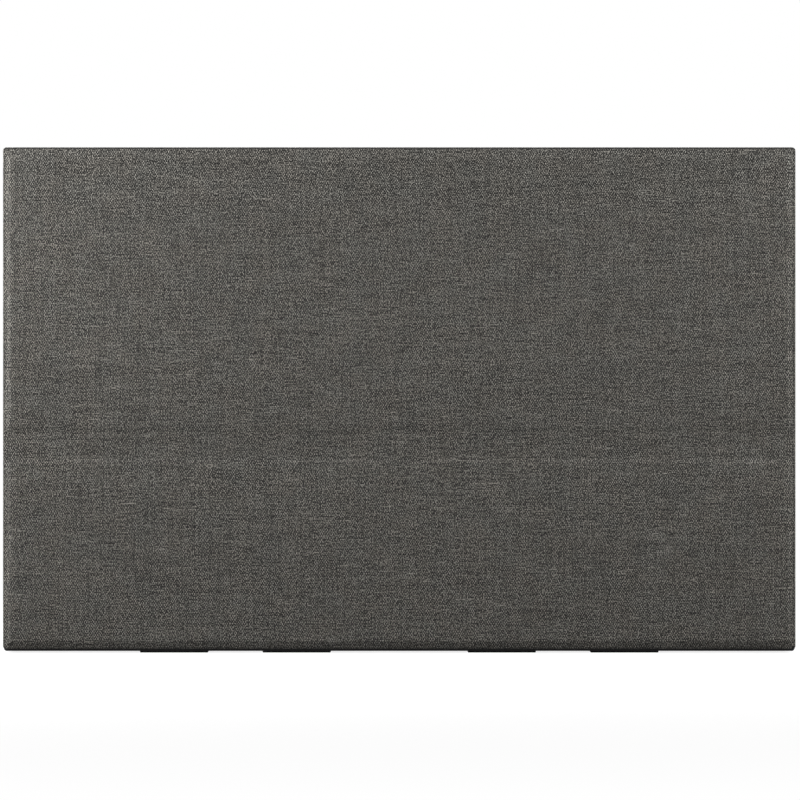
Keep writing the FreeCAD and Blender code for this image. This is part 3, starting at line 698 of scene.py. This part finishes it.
def brush_and_shade_lining(material):
    """Brushed patches in the lining's nap and a painted shade line along each crease, on its own UV map."""
    brush_scale, brush_detail = 60.0, 4.0
    brush_low, brush_high = 0.35, 0.65
    dull, bright = 0.90, 1.10
    tree = material.node_tree
    cloth = add(tree, "ShaderNodeUVMap", uv_map="cloth").outputs[0]
    along = add(tree, "ShaderNodeSeparateXYZ", {0: cloth}).outputs[1]
    off_crease = calc(tree, "MINIMUM", *[off_line(tree, along, z) for z in (lower_crease, upper_crease)])
    # Painted shade: the lining's colour is darkened in a line along each crease groove
    painted_crease_shade = spread(tree, off_crease, groove_half / 4, groove_half, lining_shade, 1.0)
    brushed = cloudy(tree, cloth, brush_scale, brush_detail).outputs[0]
    brushed = spread(tree, brushed, brush_low, brush_high, dull, bright)
    tinted(tree, tree.nodes["Principled BSDF"], calc(tree, "MULTIPLY", painted_crease_shade, brushed))


def border_screen(material):
    """Black border round the picture area of the switched-off panel."""
    tree = material.node_tree
    colour = tree.nodes["Principled BSDF"].inputs["Base Color"]
    place = add(tree, "ShaderNodeTexCoord").outputs["Object"]
    place = add(tree, "ShaderNodeSeparateXYZ", {0: place}).outputs
    across = calc(tree, "SUBTRACT", window_half, calc(tree, "ABSOLUTE", place[0]))
    above = calc(tree, "SUBTRACT", place[2], window_low)
    below = calc(tree, "SUBTRACT", window_high, place[2])
    inside = calc(tree, "MINIMUM", across, calc(tree, "MINIMUM", above, below))
    shown = spread(tree, inside, border_wide, border_wide + border_soft)
    feed(tree, colour, blended(tree, shown, border_black, colour.links[0].from_socket))


def finish_nodes():
    """Makes every finish and gives each CAD node its own; returns the finishes by slot."""
    grain = grain_group()
    finishes = {slot: grained(slot, grain) for slot in grains}
    finishes["cover_fabric"] = woven("cover_fabric", weave_group())
    brush_and_shade_lining(finishes["cover_lining"])
    border_screen(finishes["screen_glass"])
    for name, part in nodes.items():
        slot = "blackened_steel" if name.startswith("hinge_") else slot_of[name]
        part.data.materials.clear()
        part.data.materials.append(finishes[slot])
    return finishes


def declare(lengths):
    """Hides the CAD nodes that lengths of one cloth stand for; each length's piece, size and the board under it
    are not used.
    """
    for piece, length, stands_for, under in lengths:
        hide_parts(*stands_for)


def dress_cover(fabric, lining):
    """Lengths of cloth and of lining, cut apart on the fold strip, on the upper panel and over the top, and a
    spine fixed to the display.
    """
    lower_rows = crease_lines(lower_crease, lower_high.z, -lower_fold_slope)
    lower_rows += [face_row, 2 * face_row, strip_middle]
    middle_rows = crease_lines(upper_crease, upper_low.z, upper_fold_slope)
    middle_rows += [strip_middle, upper_crease + face_row, upper_crease + 2 * face_row, panel_seam]
    above, below = shoulder_steps // 2, shoulder_steps * 3 // 2
    shoulder = [upper_high.z - top_slope * k / shoulder_steps for k in range(-above, below + 1)]
    front_bend = evenly(front_end, top_start, front_steps)
    top_rows = [panel_seam] + [s for s in shoulder if s < front_end] + front_bend
    top_rows += evenly(top_start, top_seam, top_steps)[1:]
    spine_rows = [top_seam] + evenly(top_end, back_start, back_steps) + [back_start + flap_row]
    lining_rows = [panel_seam] + [upper_high.z - lining_row * k for k in (2, 1, 0)] + front_bend
    lining_rows += [top_start + lining_tail, top_start + 2 * lining_tail]

    lower = outer_cloth("lower_cloth", lower_rows, free_edge, no_high_end, fabric)
    middle = outer_cloth("middle_cloth", middle_rows, no_low_end, no_high_end, fabric)
    top = outer_cloth("top_cloth", top_rows, no_low_end, no_high_end, fabric)
    spine = outer_cloth("spine_cloth", spine_rows, no_low_end, flap_end, fabric)
    lower_in = inner_lining("lower_inside", lower_rows, lining_low.z, lining)
    middle_in = inner_lining("middle_inside", middle_rows, no_low_end, lining)
    top_in = inner_lining("top_inside", lining_rows, no_low_end, lining)

    wrap = math.pi * half_sheet - 2 * half_sheet + turn_in
    declare((
        (lower, strip_middle - free_edge + wrap, ["lower_fabric"], ["lower_board"]),
        (middle, panel_seam - strip_middle, ["upper_fabric", "fold_fabric"], ["upper_board"]),
        (top, top_seam - panel_seam, ["upper_fabric"], ["upper_board"]),
        (spine, flap_end - top_seam + wrap, ["spine_fabric"], ["flap_board"]),
    ))
    declare((
        (lower_in, strip_middle - lining_low.z, ["lower_lining", "fold_lining"], ["lower_board"]),
        (middle_in, panel_seam - strip_middle, ["upper_lining"], ["upper_board"]),
        (top_in, top_start - panel_seam, ["spine_lining"], ["upper_board"]),
    ))
    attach(spine, "display")
    for piece in (lower, lower_in):
        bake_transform(piece)
    for piece in (middle, middle_in):
        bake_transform(piece)
    for piece in (top, top_in):
        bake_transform(piece)


def lamp(name, place, target, size, power, beam=180):
    """Soft rectangular lamp aimed at a point."""
    data = bpy.data.lights.new(name, "AREA")
    data.shape = "RECTANGLE"
    data.size, data.size_y = size
    data.energy = power
    data.spread = math.radians(beam)
    made = bpy.data.objects.new(name, data)
    made.location = place
    made.rotation_euler = (Vector(target) - Vector(place)).to_track_quat("-Z", "Y").to_euler()
    bpy.context.scene.collection.objects.link(made)


def in_view(tree):
    """1 for rays that come from the camera, straight or by gloss or glass, and 0 for the rest."""
    path = add(tree, "ShaderNodeLightPath").outputs
    seen = calc(tree, "MAXIMUM", path["Is Camera Ray"], path["Is Glossy Ray"])
    return calc(tree, "MAXIMUM", seen, path["Is Transmission Ray"])


def floor():
    """Pale floor that fades to white away from the object and keeps its shadow."""
    floor_half = 6.0
    seen_paint, bounce_paint = (0.9, 0.9, 0.9, 1), (0.1, 0.1, 0.1, 1)
    fade_start, fade_end = 0.30, 0.80
    glow_near, glow_far = 0.78, 1.0
    material, tree, shader = new_material("floor_white")
    shader.inputs["Roughness"].default_value = 1.0
    shader.inputs["Specular IOR Level"].default_value = 0.0
    seen = in_view(tree)
    feed(tree, shader.inputs["Base Color"], blended(tree, seen, bounce_paint, seen_paint))
    place = add(tree, "ShaderNodeTexCoord").outputs["Object"]
    away = add(tree, "ShaderNodeVectorMath", {0: place}, operation="LENGTH").outputs["Value"]
    share = calc(tree, "MULTIPLY", seen, spread(tree, away, fade_start, fade_end, glow_near, glow_far))
    glow = add(tree, "ShaderNodeEmission", {"Color": (1, 1, 1, 1), "Strength": 1.0})
    mix = add(tree, "ShaderNodeMixShader", {0: share, 1: shader.outputs[0], 2: glow.outputs[0]})
    feed(tree, tree.nodes["Material Output"].inputs["Surface"], mix.outputs[0])
    bm = bmesh.new()
    bmesh.ops.create_grid(bm, x_segments=1, y_segments=1, size=floor_half)
    finished(bm, "floor", material)


def surround():
    """White to the eye, with little light of its own."""
    world = bpy.data.worlds.new("studio")
    world.use_nodes = True
    bpy.context.scene.world = world
    tree = world.node_tree
    dim = tree.nodes["Background"]
    dim.inputs["Color"].default_value = (1, 1, 1, 1)
    dim.inputs["Strength"].default_value = 0.04
    white = add(tree, "ShaderNodeBackground", {"Color": (1, 1, 1, 1), "Strength": 1.0})
    mix = add(tree, "ShaderNodeMixShader", {0: in_view(tree), 1: dim.outputs[0], 2: white.outputs[0]})
    feed(tree, tree.nodes["World Output"].inputs["Surface"], mix.outputs[0])


def lamps():
    """Soft lamps at both sides, towards the top edge from both sides, and behind."""
    middle = (0, 0, 0.12)
    upper = (0, 0, 0.24)
    lamp("left_lamp", (-0.75, -0.20, 0.36), middle, size=(0.4, 0.5), power=9.0)
    lamp("right_lamp", (0.75, -0.20, 0.36), middle, size=(0.4, 0.5), power=7.0)
    lamp("upper_left_lamp", (-0.55, -0.15, 0.30), upper, size=(0.3, 0.3), power=1.25, beam=90)
    lamp("upper_right_lamp", (0.55, -0.15, 0.30), upper, size=(0.3, 0.3), power=0.48, beam=90)
    lamp("back_left_lamp", (-0.8, 0.9, 0.7), middle, size=(0.7, 0.7), power=12.0)
    lamp("back_right_lamp", (0.9, 0.8, 0.5), middle, size=(0.5, 0.7), power=7.0)


def camera():
    """Straight front view, framed as an 800 by 800 picture."""
    picture_pixels = 800
    pixel = 0.0004475       # on the cover's face
    lens, film = 0.200, 0.036
    millimetres = 1000
    eye_x, eye_z = 0.00034, 0.11325
    distance = picture_pixels * pixel * lens / film
    data = bpy.data.cameras.new("camera")
    data.lens = lens * millimetres
    data.sensor_width = film * millimetres
    data.clip_end = 50.0
    made = bpy.data.objects.new("camera", data)
    made.location = (eye_x, lower_low.y - distance, eye_z)
    made.rotation_euler = (math.pi / 2, 0, 0)
    bpy.context.scene.collection.objects.link(made)
    bpy.context.scene.camera = made


finishes = finish_nodes()
dress_cover(finishes["cover_fabric"], finishes["cover_lining"])
floor()
surround()
lamps()
camera()
bpy.context.scene.view_settings.view_transform = "Standard"
